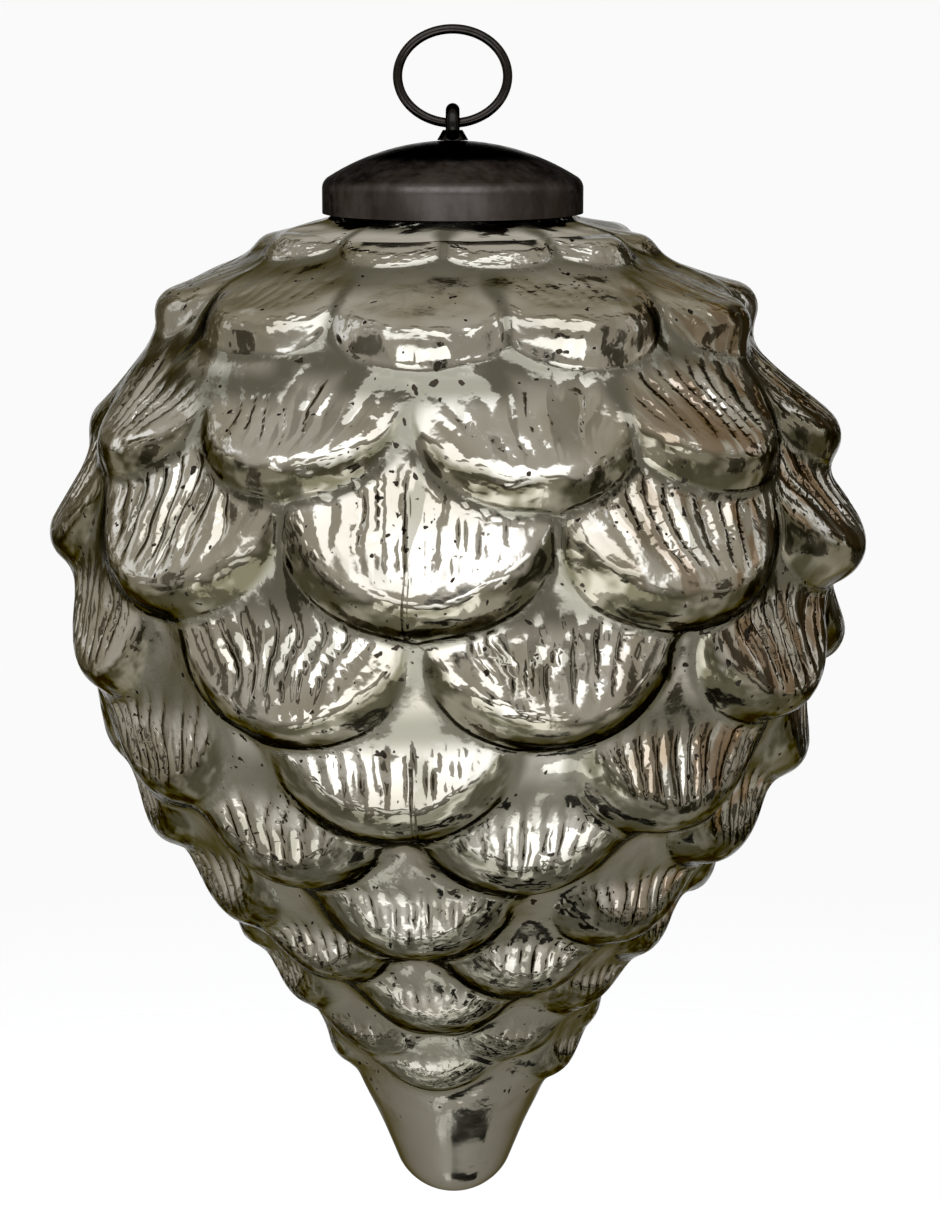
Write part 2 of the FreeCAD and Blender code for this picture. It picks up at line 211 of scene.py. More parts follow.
class BodyTable:
    """Signed distance to the turned body, looked up by reach and height."""

    # The table's cells, and its room outside, below and above the body, in millimetres.
    step, beyond, below, above = 0.4, 14, 6, 2

    def __init__(self):
        line = body_outline()
        self.low = np.array([0.0, line[:, 1].min() - self.below])
        high = np.array([line[:, 0].max() + self.beyond, line[:, 1].max() + self.above])
        size = high - self.low
        counts = (size / self.step).astype(int) + 2
        reach = self.low[0] + self.step * np.arange(counts[0])
        height = self.low[1] + self.step * np.arange(counts[1])
        reach, height = np.meshgrid(reach, height, indexing="ij")
        nearest = np.full(reach.shape, FAR)
        inside = np.zeros(reach.shape, bool)
        closed = np.vstack([line, [(0, line[0, 1])], line[:1]])
        for start, end in zip(line, line[1:]):
            along = end - start
            t = (reach - start[0]) * along[0] + (height - start[1]) * along[1]
            t = np.clip(t / (along @ along), 0, 1)
            gap = np.hypot(reach - start[0] - t * along[0], height - start[1] - t * along[1])
            nearest = np.minimum(nearest, gap)
        for start, end in zip(closed, closed[1:]):
            if start[1] != end[1]:
                crosses = (start[1] > height) != (end[1] > height)
                at = start[0] + (height - start[1]) * (end[0] - start[0]) / (end[1] - start[1])
                inside ^= crosses & (reach < at)
        self.values = np.where(inside, -nearest, nearest)

    def at(self, reach, height):
        """Distance, and its slopes along reach and height."""
        x = (reach - self.low[0]) / self.step
        y = (height - self.low[1]) / self.step
        i = np.clip(x.astype(int), 0, self.values.shape[0] - 2)
        j = np.clip(y.astype(int), 0, self.values.shape[1] - 2)
        u, v = x - i, y - j
        a, b = self.values[i, j], self.values[i + 1, j]
        c, d = self.values[i, j + 1], self.values[i + 1, j + 1]
        value = (a * (1 - u) + b * u) * (1 - v) + (c * (1 - u) + d * u) * v
        slope_x = ((b - a) * (1 - v) + (d - c) * v) / self.step
        slope_y = ((c - a) * (1 - u) + (d - b) * u) / self.step
        return value, slope_x, slope_y


def wobble(row, place):
    """The small unevenness of handwork: two numbers between -1 and 1 for each scale."""
    return math.sin(2.1 * place + 1.7 * row), math.sin(3.7 * place + 0.9 * row)


def scale_tone(row, place):
    """A number from 0 to 1 that sets each scale's patterns apart from its neighbours'."""
    return math.modf(abs(math.sin(12.9898 * (row * 13 + place)) * 437.5453))[0]


def make_scales():
    """Where every scale is, how it is turned, and its sizes."""
    scales = []
    for row, (top_share, lip_share, count, turn) in enumerate(ROWS):
        for place in range(count):
            reach_wobble, drop_wobble = wobble(row, place)
            angle = turn + 360 * place / count
            lean = 1 + BODY_LEAN * math.sin(math.radians(angle))
            lean += reach_wobble * SCALE_WOBBLE / BODY_WIDTH
            top = np.array([top_share[0] * HALF, FOOT - top_share[1] * BODY_LENGTH])
            lip_drop = lip_share[1] * BODY_LENGTH + drop_wobble * SCALE_WOBBLE
            lip = np.array([lip_share[0] * HALF * lean, FOOT - lip_drop])
            up = (top - lip) / np.hypot(*(top - lip))
            radius = SCALE_FILL * lip[0] * math.sin(math.pi / count)
            sway = 2 * SCALE_WOBBLE / lip[0] * drop_wobble
            facing = math.radians(angle - 90) + sway
            out_x, out_y = math.cos(facing), math.sin(facing)
            roll = min(ROLL_LEAST + ROLL_SHARE * radius, ROLL_MOST * radius)
            thin = DEPTH_SHARE * lip[0] + roll
            centre = lip + up * radius + SWELL * roll * np.array([up[1], -up[0]])
            axes = np.array(
                [
                    (-out_y, out_x, 0),
                    (up[0] * out_x, up[0] * out_y, up[1]),
                    (up[1] * out_x, up[1] * out_y, -up[0]),
                ]
            )
            scales.append(
                {
                    "centre": np.array([centre[0] * out_x, centre[0] * out_y, centre[1]]),
                    "axes": axes,
                    "radius": radius,
                    "roll": roll,
                    "depth": max(min(SCALE_DEPTH, thin), ROLL_DEPTHS * roll),
                    "flute": FLUTED[row],
                    "tone": scale_tone(row, place),
                }
            )
    return scales


def scale_distance(scale, points):
    """Signed distance to one rounded scale, its gradient and the place on its face."""
    local = (points - scale["centre"]) @ scale["axes"].T
    across, up, out = local[:, 0], local[:, 1], local[:, 2]
    roll, half_depth = scale["roll"], scale["depth"] / 2
    out = out + CROWN * across**2
    spread = np.maximum(np.hypot(across, up), TINY)
    side = spread - (scale["radius"] - roll)
    level = out + half_depth
    face = np.abs(level) - (half_depth - roll)
    lean = np.sqrt(1 + (2 * CROWN * across) ** 2)
    side_way = np.stack([across / spread, up / spread, np.zeros_like(up)], 1)
    face_way = np.stack([2 * CROWN * across, np.zeros_like(up), np.ones_like(up)], 1)
    face_way *= (np.sign(level) / lean)[:, None]
    side_out, face_out = np.maximum(side, 0), np.maximum(face, 0)
    outside = np.hypot(side_out, face_out)
    value = np.minimum(np.maximum(side, face), 0) + outside - roll
    corner = side_out[:, None] * side_way + face_out[:, None] * face_way
    corner /= np.maximum(outside, TINY)[:, None]
    flat = np.where((side > face)[:, None], side_way, face_way)
    way = np.where((outside > TOUCH)[:, None], corner, flat)
    return value, way @ scale["axes"], across / scale["radius"], up / scale["radius"], side


def soft_union(first, second):
    """Smooth minimum of two distances, and how much of the second is in it."""
    share = np.clip(0.5 + 0.5 * (first - second) / FILLET, 0, 1)
    value = first * (1 - share) + second * share - FILLET * share * (1 - share)
    return value, share


def smooth(value, low, high):
    """Smoothly from 0 to 1 as a value goes from low to high."""
    share = np.clip((value - low) / (high - low), 0, 1)
    return share * share * (3 - 2 * share)


class Noise:
    """Smooth, seeded noise between 0 and 1."""

    cells = 32

    def __init__(self, seed):
        self.values = np.random.default_rng(seed).random((self.cells,) * 3)

    def at(self, points, size):
        """The noise at each point, with lumps about size millimetres wide."""
        place = points / size
        cell = np.floor(place).astype(int)
        share = smooth(place - cell, 0, 1)
        total = np.zeros(len(points))
        for i in (0, 1):
            for j in (0, 1):
                for k in (0, 1):
                    offset = np.array([i, j, k])
                    weight = np.where(offset, share, 1 - share).prod(1)
                    x, y, z = ((cell + offset) % self.cells).T
                    total += weight * self.values[x, y, z]
        return total


class Glass:
    """The blown surface: the body and all its scales, softly joined."""

    def __init__(self):
        self.table = BodyTable()
        self.scales = make_scales()
        self.noise = Noise(NOISE_SEED)

    def sample(self, low, counts):
        """The distance on a box of grid points."""
        axes = [low[i] + NET_STEP * np.arange(counts[i]) for i in range(3)]
        x, y, z = np.meshgrid(*axes, indexing="ij")
        values = self.table.at(np.hypot(x, y), z)[0]
        for scale in self.scales:
            pad = scale["radius"] + GRID_PAD
            first = [int((scale["centre"][i] - pad - low[i]) / NET_STEP) for i in range(3)]
            last = [int((scale["centre"][i] + pad - low[i]) / NET_STEP) + 2 for i in range(3)]
            part = tuple(slice(max(first[i], 0), min(last[i], counts[i])) for i in range(3))
            points = np.stack([x[part], y[part], z[part]], -1).reshape(-1, 3)
            found = scale_distance(scale, points)[0].reshape(values[part].shape)
            values[part] = soft_union(values[part], found)[0]
        return values

    def look(self, points):
        """Distance and gradient at each point, and which scale it is on and where."""
        reach = np.maximum(np.hypot(points[:, 0], points[:, 1]), TINY)
        value, slope_r, slope_z = self.table.at(reach, points[:, 2])
        way = np.stack(
            [slope_r * points[:, 0] / reach, slope_r * points[:, 1] / reach, slope_z], 1
        )
        nearest = value.copy()
        second = np.full(len(points), FAR)
        marks = {name: np.zeros(len(points)) for name in FACE_MARKS}
        outs = np.zeros((len(points), 3))
        for scale in self.scales:
            far = np.linalg.norm(points - scale["centre"], axis=1)
            near = far < scale["radius"] + POINT_PAD
            if not near.any():
                continue
            gap, slope, across, along, side = scale_distance(scale, points[near])
            joined, share = soft_union(value[near], gap)
            value[near] = joined
            way[near] = way[near] * (1 - share)[:, None] + slope * share[:, None]
            before = nearest[near]
            second[near] = np.minimum(second[near], np.maximum(before, gap))
            nearest[near] = np.minimum(before, gap)
            wins = gap < before
            spots = np.flatnonzero(near)[wins]
            marks["across"][spots] = across[wins]
            marks["along"][spots] = along[wins]
            edge = -side[wins] / scale["radius"] * FACE_SLOPE + FACE_START
            marks["face"][spots] = np.clip(edge, 0, 1)
            marks["tone"][spots] = scale["tone"]
            marks["flute"][spots] = scale["flute"]
            outs[spots] = scale["axes"][2]
        length = np.maximum(np.linalg.norm(way, axis=1), TINY)
        marks["under"] = np.clip(1 - (way * outs).sum(1) / length, 0, 2) * outs.any(1)
        marks["deep"] = np.clip(1 - (second - nearest) / VALLEY_REACH, 0, 1)
        marks["face"] *= np.clip((second - nearest) / FACE_REACH, 0, 1)
        return value, way, marks


def flute_depth(glass, points):
    """How deep the flutes are at each point, in millimetres, and the marks there."""
    marks = glass.look(points)[2]
    fan = marks["across"] / (marks["along"] + FAN_POINT)
    fan = fan + FAN_WOBBLE * glass.noise.at(points, WOBBLE_SIZE)
    wave = 2 * math.pi * FLUTES * fan + TONE_TURN * marks["tone"]
    groove = (0.5 + 0.5 * np.cos(wave)) ** FLUTE_POWER
    fade = smooth(glass.noise.at(points, FADE_SIZE), *FADE_SPAN)
    reach = smooth(-marks["along"], *FLUTE_TOP) * fade
    return FLUTE_DEPTH * groove * reach * marks["flute"] * marks["face"], marks


def carve(glass, points):
    """Sink the flutes into the surface: the new points, their normals and their marks."""
    way = glass.look(points)[1]
    way /= np.maximum(np.linalg.norm(way, axis=1), TINY)[:, None]
    depth, marks = flute_depth(glass, points)
    # Any one slanting direction serves to lay out two directions along the surface.
    aslant = (0.31, 0.52, 0.80)
    first = np.cross(way, aslant)
    first /= np.linalg.norm(first, axis=1)[:, None]
    bent = way.copy()
    step = 0.05
    for side in (first, np.cross(way, first)):
        there = flute_depth(glass, points + step * side)[0]
        bent += ((there - depth) / step)[:, None] * side
    bent /= np.linalg.norm(bent, axis=1)[:, None]
    return points - depth[:, None] * way, bent, marks


def surface_net(values, low, step):
    """Points and four-sided faces of the surface where the values change sign."""
    inside = values < 0
    counts = np.array(values.shape)
    offsets = [(i, j, k) for i in (0, 1) for j in (0, 1) for k in (0, 1)]

    def corner(array, offset):
        return array[tuple(slice(offset[i], counts[i] - 1 + offset[i]) for i in range(3))]

    filled = sum(corner(inside, offset).astype(np.int8) for offset in offsets)
    active = (filled > 0) & (filled < 8)
    number = np.full(active.shape, -1, np.int64)
    number[active] = np.arange(active.sum())
    cells = np.argwhere(active)
    total = np.zeros((len(cells), 3))
    crossings = np.zeros(len(cells))
    for start in offsets:
        for axis in range(3):
            if start[axis]:
                continue
            end = tuple(start[i] + (i == axis) for i in range(3))
            a = corner(values, start)[active]
            b = corner(values, end)[active]
            crosses = (a < 0) != (b < 0)
            share = np.where(crosses, a / np.where(crosses, a - b, 1), 0)
            point = np.array(start, float) + share[:, None] * np.eye(3)[axis]
            total += np.where(crosses[:, None], point, 0)
            crossings += crosses
    points = low + step * (cells + total / crossings[:, None])
    quads = []
    for axis in range(3):
        second, third = (axis + 1) % 3, (axis + 2) % 3
        lower = [slice(None)] * 3
        upper = [slice(None)] * 3
        lower[axis], upper[axis] = slice(0, -1), slice(1, None)
        near, far = inside[tuple(lower)], inside[tuple(upper)]
        edges = np.argwhere(near != far)
        keep = (edges[:, second] > 0) & (edges[:, third] > 0)
        keep &= edges[:, second] < counts[second] - 1
        keep &= edges[:, third] < counts[third] - 1
        edges = edges[keep]
        corners = []
        for back, down in ((1, 1), (0, 1), (0, 0), (1, 0)):
            cell = edges.copy()
            cell[:, second] -= back
            cell[:, third] -= down
            corners.append(number[tuple(cell.T)])
        quad = np.stack(corners, 1)
        turned = ~near[tuple(edges.T)]
        quad[turned] = quad[turned][:, ::-1]
        quads.append(quad)
    return points, np.vstack(quads)


def settle(glass, points, quads, draws=5, evenings=3):
    """Draw the points onto the exact surface and even out their spacing."""
    edges = np.vstack([quads[:, [0, 1]], quads[:, [1, 2]], quads[:, [2, 3]], quads[:, [3, 0]]])
    count = np.bincount(edges[:, 0], minlength=len(points))
    most, least_slope, ease = 0.8, 0.05, 0.6
    for stage in range(draws):
        value, way, _ = glass.look(points)
        move = np.clip(value / np.maximum((way**2).sum(1), least_slope), -most, most)
        points = points - move[:, None] * way
        if stage < evenings:
            sums = [np.bincount(edges[:, 0], points[edges[:, 1], i]) for i in range(3)]
            drift = np.stack(sums, 1) / count[:, None] - points
            unit = way / np.maximum(np.linalg.norm(way, axis=1), TINY)[:, None]
            drift -= (drift * unit).sum(1)[:, None] * unit
            points = points + ease * drift
    return points


def cavity_outline():
    """The neck's rim, its bore and the hollow inside, as reach and height."""
    bore = NECK_RADIUS - GLASS_WALL
    middle = (NECK_RADIUS + bore) / 2
    half = GLASS_WALL / 2
    outline = [
        (middle + half * math.cos(a), NECK_TOP - half + half * math.sin(a))
        for a in np.linspace(0, math.pi, RIM_POINTS + 1)[1:]
    ]
    outline.append((bore, FOOT))
    marks = flank_marks()
    for before, mark, after in zip(marks, marks[1:], marks[2:]):
        run = math.hypot(after[0] - before[0], after[1] - before[1])
        inward = FLANK_WALL * (after[1] - before[1]) / run
        downward = -FLANK_WALL * (after[0] - before[0]) / run
        outline.append((mark[0] + inward, mark[1] + downward))
    return outline


def make_outside(glass):
    """A mesh of the outer surface, in millimetres, open above the neck."""
    low = np.array([-GRID_REACH, -GRID_REACH, FOOT - BODY_LENGTH - GRID_BELOW])
    high = np.array([GRID_REACH, GRID_REACH, NECK_TOP + GRID_ABOVE])
    counts = ((high - low) / NET_STEP).astype(int) + 1
    points, quads = surface_net(glass.sample(low, counts), low, NET_STEP)
    points = settle(glass, points, quads)
    mesh = bpy.data.meshes.new("glass_shell")
    mesh.from_pydata(points.tolist(), [], quads.tolist())
    return mesh


def close_inside(mesh):
    """Cut the neck off at its rim and close the mesh with the hollow. Gives the new points."""
    shell = bmesh.new()
    shell.from_mesh(mesh)
    bmesh.ops.bisect_plane(
        shell,
        geom=shell.verts[:] + shell.edges[:] + shell.faces[:],
        plane_co=(0, 0, NECK_TOP - GLASS_WALL / 2),
        plane_no=(0, 0, 1),
        clear_outer=True,
    )
    loop = {v for edge in shell.edges if len(edge.link_faces) == 1 for v in edge.verts}
    loop = sorted(loop, key=lambda v: math.atan2(v.co.y, v.co.x))
    angles = [math.atan2(v.co.y, v.co.x) for v in loop]
    inner = set()
    for reach, height in cavity_outline():
        ring = [
            shell.verts.new((reach * math.cos(a), reach * math.sin(a), height)) for a in angles
        ]
        inner.update(ring)
        for i, vertex in enumerate(ring):
            after = (i + 1) % len(ring)
            shell.faces.new((loop[i], loop[after], ring[after], vertex))
        loop = ring
    shell.faces.new(loop)
    shell.verts.index_update()
    inner = [v.index for v in inner]
    shell.normal_update()
    shell.to_mesh(mesh)
    shell.free()
    return inner


def vertex_values(mesh, name):
    """Every vertex's place or normal, as rows of an array."""
    values = np.zeros(len(mesh.vertices) * 3)
    mesh.vertices.foreach_get(name, values)
    return values.reshape(-1, 3)


def make_glass_piece():
    """The glass as one closed mesh, in metres, with what its material needs at each point."""
    glass = Glass()
    mesh = make_outside(glass)
    inner = close_inside(mesh)
    places, normals = vertex_values(mesh, "co"), vertex_values(mesh, "normal")
    sunk, way, marks = carve(glass, places)
    outer = np.ones(len(places), bool)
    outer[inner] = False
    agrees = outer & ((way * normals).sum(1) > LEAST_AGREEMENT)
    normals = np.where(agrees[:, None], way, normals)
    places = np.where(agrees[:, None], sunk, places)
    for name, values in marks.items():
        attribute = mesh.attributes.new(name, "FLOAT", "POINT")
        attribute.data.foreach_set("value", np.where(outer, values, 0).astype(np.float32))
    mesh.vertices.foreach_set("co", (places * MM).ravel())
    mesh.polygons.foreach_set("use_smooth", [True] * len(mesh.polygons))
    mesh.update()
    mesh.normals_split_custom_set_from_vertices(normals.tolist())
    return add_object("glass_shell", mesh)


class Tree:
    """A short way to write the nodes of a material or of the world."""

    def __init__(self, owner):
        self.owner = owner
        owner.use_nodes = True
        self.nodes = owner.node_tree.nodes
        self.links = owner.node_tree.links
        self.shader = self.nodes.get("Principled BSDF")

    def node(self, kind, settings=None, **inputs):
        """A new node, with its settings and with its inputs fed by name."""
        made = self.nodes.new(kind)
        for name, value in (settings or {}).items():
            setattr(made, name, value)
        for name, value in inputs.items():
            self.feed(made.inputs[name.replace("_", " ")], value)
        return made

    def feed(self, socket, value):
        """Link another node's output to a socket, or set the socket's own value."""
        if isinstance(value, bpy.types.NodeSocket):
            self.links.new(value, socket)
        else:
            socket.default_value = value

    def math(self, operation, *values):
        """One sum of the given kind."""
        made = self.node("ShaderNodeMath", {"operation": operation})
        for socket, value in zip(made.inputs, values):
            self.feed(socket, value)
        return made.outputs[0]

    def times(self, first, second):
        return self.math("MULTIPLY", first, second)

    def plus(self, first, second):
        return self.math("ADD", first, second)

    def add_product(self, first, second, rest):
        return self.math("MULTIPLY_ADD", first, second, rest)

    def ramp(self, value, low, high, to_low=0.0, to_high=1.0):
        """Smoothly from one number to another as a value goes from low to high."""
        made = self.node("ShaderNodeMapRange", {"interpolation_type": "SMOOTHSTEP"})
        for socket, number in zip(made.inputs, (value, low, high, to_low, to_high)):
            self.feed(socket, number)
        return made.outputs[0]

    def blend(self, share, first, second):
        """From one colour to another."""
        made = self.node("ShaderNodeMix", {"data_type": "RGBA"})
        self.feed(made.inputs[0], share)
        self.feed(made.inputs[6], first)
        self.feed(made.inputs[7], second)
        return made.outputs[2]

    def number(self, name):
        """A number that the mesh keeps for each point."""
        return self.node("ShaderNodeAttribute", {"attribute_name": name}).outputs["Fac"]

    def place(self):
        """The place on the object, in millimetres."""
        where = self.node("ShaderNodeTexCoord").outputs["Object"]
        made = self.node("ShaderNodeVectorMath", {"operation": "SCALE"}, Scale=1 / MM)
        self.feed(made.inputs[0], where)
        return made.outputs[0]

    def stretched(self, where, scale):
        """A place whose axes are scaled."""
        return self.node("ShaderNodeMapping", Vector=where, Scale=scale).outputs[0]

    def noise(self, where, size, detail=2.0, rough=0.5, twist=0.0):
        """Noise whose lumps are about size millimetres wide."""
        made = self.node(
            "ShaderNodeTexNoise",
            Vector=where,
            Scale=1 / size,
            Detail=detail,
            Roughness=rough,
            Distortion=twist,
        )
        return made.outputs["Fac"]

    def surface(self, base, rough, height=None, distance=MM, strength=1.0):
        """Feed the shader its colour, its roughness and, from a height, its bumps."""
        self.feed(self.shader.inputs["Base Color"], base)
        self.feed(self.shader.inputs["Roughness"], rough)
        if height is not None:
            bump = self.node("ShaderNodeBump", Height=height, Distance=distance, Strength=strength)
            self.feed(self.shader.inputs["Normal"], bump.outputs[0])


def colour(red, green, blue):
    """A colour as a screen shows it, from 0 to 255, for a node."""

    def one(value):
        share = value / 255
        return share / 12.92 if share <= 0.04045 else ((share + 0.055) / 1.055) ** 2.4

    return (one(red), one(green), one(blue), 1)


# The silvering's colours, with those of its painted light, painted shade and painted reflection.
SILVER_PALE = colour(160, 154, 140)
SILVER_TAUPE = colour(137, 130, 113)
SILVER_CLOUD = colour(184, 179, 168)
NECK_LIGHT_PALE = colour(176, 171, 158)
LOW_SHADE_OLIVE = colour(88, 83, 69)
SILVER_EDGE = colour(158, 156, 149)
RIB_SHADE_OLIVE = colour(84, 80, 64)
BROWN_REFLECTION = colour(96, 70, 38)
LIP_SHADE_OLIVE = colour(66, 62, 45)
LIP_SHADE_PALE = colour(118, 112, 94)
LIP_SHADE_LOW = colour(60, 58, 48)
VALLEY_SHADE_OLIVE = colour(92, 88, 74)
FLECK_BLACK = colour(38, 33, 26)

# The heights between which the silvering's look changes, in millimetres: the painted light of its
# paler neck, the painted shade of its darker lower rows, the calm tip, and the two ends of the
# mould's seam.
NECK_LIGHT_HEIGHTS = (FOOT - 2.5, FOOT - 0.5)
LOW_SHADE_HEIGHTS = (FOOT - 0.36 * BODY_LENGTH, FOOT - 0.60 * BODY_LENGTH)
CALM_HEIGHTS = (FOOT - 0.93 * BODY_LENGTH, FOOT - 0.87 * BODY_LENGTH)
SEAM_HEIGHTS = (FOOT - 11.0, FOOT - 15.0)
SEAM_LOW_HEIGHTS = (FOOT - 0.75 * BODY_LENGTH, FOOT - 0.50 * BODY_LENGTH)
# The painted reflection of brown things round about is on the right, from here to here.
BROWN_REFLECTION_REACH = (12.0, 32.0)
# The seam runs down the front and the back, turned a little from straight ahead.
SEAM_TURN = math.radians(-5.7)

# How far each pattern of the silvering stands up, in millimetres. The neck's tilt is a slope.
RIB_RISE = 0.30
FOLD_RISE = 0.40
LUMP_RISE = 0.70
SEAM_RISE = 0.14
FINE_RISE = 0.08
FLECK_RISE = -0.03
NECK_TILT = -0.40
NECK_TILT_REACH = NECK_RADIUS + 6.0

# A scale's own patterns are drawn this large, and are set apart by its tone.
FAN_DRAWN = 22.0
FACE_DRAWN = 1.8
ROUND_DRAWN = 9.0
TURN_DRAWN = 3.0
TONE_DRAWN = 60.0


def cloudy_silver_and_neck_light(tree, where, z):
    """Warm grey in soft patches and paler clouds, palest round the neck, where that is painted
    light.
    """
    patches = tree.ramp(tree.noise(where, 14.0, 3.0), 0.35, 0.65)
    clouds = tree.ramp(tree.noise(where, 4.0, 4.0, 0.6), 0.58, 0.75, 0.0, 0.6)
    base = tree.blend(patches, SILVER_PALE, SILVER_TAUPE)
    base = tree.blend(clouds, base, SILVER_CLOUD)
    # Painted light: the silvering is made paler round the neck, just under the cap.
    return tree.blend(tree.ramp(z, *NECK_LIGHT_HEIGHTS), base, NECK_LIGHT_PALE)


def fan_patterns(tree, where, marks):
    """Ribs, which give painted shade and bumps, and the pattern of the painted brown reflection,
    that fan out with a scale's flutes.
    """
    fan = tree.math("DIVIDE", marks["across"], tree.plus(marks["along"], FAN_POINT))
    fan = tree.plus(fan, tree.times(tree.noise(where, WOBBLE_SIZE), 0.05))
    drawn = tree.node(
        "ShaderNodeCombineXYZ",
        X=tree.times(fan, FAN_DRAWN),
        Y=tree.times(marks["along"], FACE_DRAWN),
        Z=tree.times(marks["tone"], TONE_DRAWN),
    ).outputs[0]
    return tree.noise(drawn, 1.3, 1.5), tree.noise(drawn, 1.7, 2.0, 0.5, 0.3)


def lip_patterns(tree, marks, low):
    """Streaks that run round a scale's lip, and how far each point is on the lip."""
    outward = tree.times(marks["across"], marks["across"])
    outward = tree.math("SQRT", tree.add_product(marks["along"], marks["along"], outward))
    turn = tree.math("ARCTAN2", marks["across"], tree.times(marks["along"], -1.0))
    curved = tree.node(
        "ShaderNodeCombineXYZ",
        X=tree.times(outward, ROUND_DRAWN),
        Y=tree.times(turn, TURN_DRAWN),
        Z=tree.times(marks["tone"], TONE_DRAWN),
    ).outputs[0]
    streaks = tree.noise(curved, 1.0)
    shoulder = tree.plus(marks["under"], tree.add_product(streaks, 0.3, -0.15))
    edge = tree.plus(outward, tree.add_product(streaks, 0.24, -0.12))
    edge = tree.add_product(low, 0.21, edge)
    # The rim marks the underside of each lip: it masks the painted shade there and the folds'
    # bumps.
    rim = tree.math("MAXIMUM", tree.ramp(shoulder, 0.22, 0.42), tree.ramp(edge, 0.84, 0.92))
    return streaks, rim


def paint_lip_shade(tree, base, marks, low, streaks, rim):
    """Painted shade: dark olive streaks on the lower half of every lip, and olive painted shade in
    the valleys.
    """
    # Painted shade under each lip, with paler streaks, darker still on the lower rows.
    below = tree.times(rim, tree.ramp(marks["along"], 0.25, -0.15))
    below = tree.times(below, tree.ramp(marks["flute"], 0.1, 0.6, 0.3, 1.0))
    lip = tree.blend(tree.ramp(streaks, 0.46, 0.64), LIP_SHADE_OLIVE, LIP_SHADE_PALE)
    lip = tree.blend(tree.times(low, 0.6), lip, LIP_SHADE_LOW)
    base = tree.blend(below, base, lip)
    # Painted shade: the valleys between the scales are darkened olive.
    return tree.blend(tree.ramp(marks["deep"], 0.45, 0.95), base, VALLEY_SHADE_OLIVE)


def make_flecks(tree, where, lively):
    """Small worn spots, gathered here and there."""
    often = tree.ramp(tree.noise(where, 9.0), 0.46, 0.66, 0.0, 0.10)
    worn = tree.plus(tree.noise(where, 1.1, 1.0), often)
    return tree.times(tree.ramp(worn, 0.75, 0.78), lively)


def seam_line(tree, where, x, y, z, deep):
    """The mould's seam, a wandering line that stays out of the valleys."""
    aside = tree.add_product(y, math.sin(SEAM_TURN), tree.times(x, math.cos(SEAM_TURN)))
    wander = tree.add_product(tree.noise(where, 9.0), 1.2, -0.6)
    aside = tree.math("ABSOLUTE", tree.plus(aside, wander))
    seam = tree.times(tree.ramp(aside, 0.45, 0.1), tree.ramp(deep, 0.6, 0.2))
    seam = tree.times(seam, tree.ramp(z, *SEAM_LOW_HEIGHTS))
    return tree.times(seam, tree.ramp(z, *SEAM_HEIGHTS))


def silvered_glass():
    """Aged silvering behind clear glass: warm grey, flecked, fluted on the scales, with painted
    shade, painted light and a painted reflection in its colour.
    """
    tree = Tree(bpy.data.materials.new("silvered_glass"))
    where = tree.place()
    x, y, z = tree.node("ShaderNodeSeparateXYZ", Vector=where).outputs
    marks = {name: tree.number(name) for name in (*FACE_MARKS, "under", "deep")}
    low = tree.ramp(z, *LOW_SHADE_HEIGHTS)
    open_part = tree.ramp(marks["deep"], 0.85, 0.45)
    faced = tree.times(tree.times(marks["face"], marks["flute"]), open_part)
    lively = tree.ramp(z, *CALM_HEIGHTS, 0.12, 1.0)
    ribs, brown_reflection = fan_patterns(tree, where, marks)
    streaks, rim = lip_patterns(tree, marks, low)
    flecks = make_flecks(tree, where, lively)

    base = cloudy_silver_and_neck_light(tree, where, z)
    # Painted shade: darker on the lower rows, most away from the middle of each scale's face.
    low_shade_off_face = tree.add_product(marks["face"], -0.52, 0.92)
    base = tree.blend(tree.times(low, low_shade_off_face), base, LOW_SHADE_OLIVE)
    # Painted shade along the flutes: dark olive streaks where the ribs stand highest.
    rib_shade = tree.times(tree.ramp(ribs, 0.53, 0.58), faced)
    base = tree.blend(tree.times(rib_shade, 0.62), base, RIB_SHADE_OLIVE)
    # Painted reflection: brown tints on the right side, for brown things reflected there.
    brown_reflection = tree.times(tree.ramp(brown_reflection, 0.46, 0.56), tree.ramp(x, *BROWN_REFLECTION_REACH))
    base = tree.blend(tree.times(brown_reflection, 0.70), base, BROWN_REFLECTION)
    # Painted shade under the lips and in the valleys.
    base = paint_lip_shade(tree, base, marks, low, streaks, rim)
    base = tree.blend(flecks, base, FLECK_BLACK)

    haze = tree.ramp(tree.noise(where, 6.0, 3.0), 0.35, 0.7, 0.09, 0.20)
    haze = tree.plus(haze, tree.times(flecks, 0.25))

    reach = tree.add_product(y, y, tree.times(x, x))
    reach = tree.math("MINIMUM", tree.math("SQRT", reach), NECK_TILT_REACH)
    height = tree.times(tree.times(ribs, faced), RIB_RISE)
    rises = (
        (tree.times(tree.times(streaks, rim), open_part), FOLD_RISE),
        (tree.times(tree.noise(where, 5.5, 1.0), lively), LUMP_RISE),
        (reach, NECK_TILT),
        (seam_line(tree, where, x, y, z, marks["deep"]), SEAM_RISE),
        (tree.times(tree.noise(where, 1.6), lively), FINE_RISE),
        (flecks, FLECK_RISE),
    )
    for pattern, rise in rises:
        height = tree.add_product(pattern, rise, height)
    tree.surface(base, haze, height)
    tree.shader.inputs["Metallic"].default_value = 1.0
    tree.shader.inputs["Specular Tint"].default_value = SILVER_EDGE
    return tree.owner


# The metals' colours: the ring and the eye, the cap's glossy dome, the painted reflection on its
# duller band with the height at which that starts, in millimetres, and the clip's steel.
RING_BLACK = colour(40, 36, 32)
EYE_BLACK = colour(30, 28, 25)
DOME_BLACK = colour(15, 15, 12)
RUBBED_BROWN = colour(24, 23, 19)
BAND_REFLECTION_BROWN = colour(52, 46, 41)
BAND_REFLECTION_PALE = colour(72, 66, 61)
METAL_EDGE = colour(52, 49, 44)
BAND_TOP = -14.6
STEEL_GREY = colour(150, 150, 152)
STEEL_PALE = colour(182, 182, 184)


